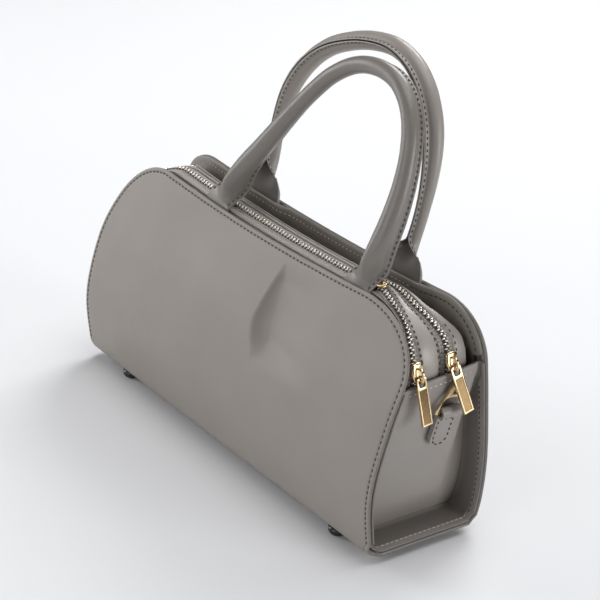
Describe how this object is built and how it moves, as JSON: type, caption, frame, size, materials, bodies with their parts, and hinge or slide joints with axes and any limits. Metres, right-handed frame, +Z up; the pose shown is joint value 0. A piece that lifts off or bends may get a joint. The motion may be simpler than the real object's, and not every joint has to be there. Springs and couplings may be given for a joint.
{
  "type": "handbag",
  "caption": "Structured top-handle handbag in smooth taupe leather, zipped along its arched top, with sunk end panels, strap rings, pull tags and stud feet.",
  "frame": {"origin": "middle of the outer box, on the surface that the feet stand on", "axes": "+X along the bag to the end with the pull tags, +Y from its front to its back, +Z up"},
  "size_m": [0.3018, 0.094, 0.2657],
  "materials": {
    "leather": "smooth taupe, satin",
    "zip": "woven tape with a pale metal chain",
    "gold_metal": "polished light gold",
    "dark_metal": "dark, polished"
  },
  "bodies": {
    "bag": {"outer_wrap": "leather", "back_facing": "leather", "front_border": "leather", "middle_band": "leather", "back_border": "leather", "gusset_left": "leather", "gusset_right": "leather", "ring_tab_left": "leather", "ring_tab_right": "leather", "handle_front": "leather", "handle_back": "leather", "zip_front": "zip", "zip_back": "zip", "slider_front_end": "gold_metal", "slider_back_end": "gold_metal", "slider_front_mid": "gold_metal", "ring_left": "gold_metal", "ring_right": "gold_metal", "foot_front_left": "dark_metal", "foot_front_right": "dark_metal", "foot_back_left": "dark_metal", "foot_back_right": "dark_metal"},
    "front_pull": {"pull_front": "gold_metal"},
    "back_pull": {"pull_back": "gold_metal"}
  },
  "joints": [
    {"name": "front_pull_swing", "type": "hinge", "parent": "bag", "child": "front_pull", "pos_m": [0.1409, -0.01817, 0.11464], "axis": [0, -0.9903, -0.1392], "range_deg": [0, 100]},
    {"name": "back_pull_swing", "type": "hinge", "parent": "bag", "child": "back_pull", "pos_m": [0.14076, 0.00681, 0.11581], "axis": [0, -0.9659, -0.2588], "range_deg": [0, 100]}
  ]
}
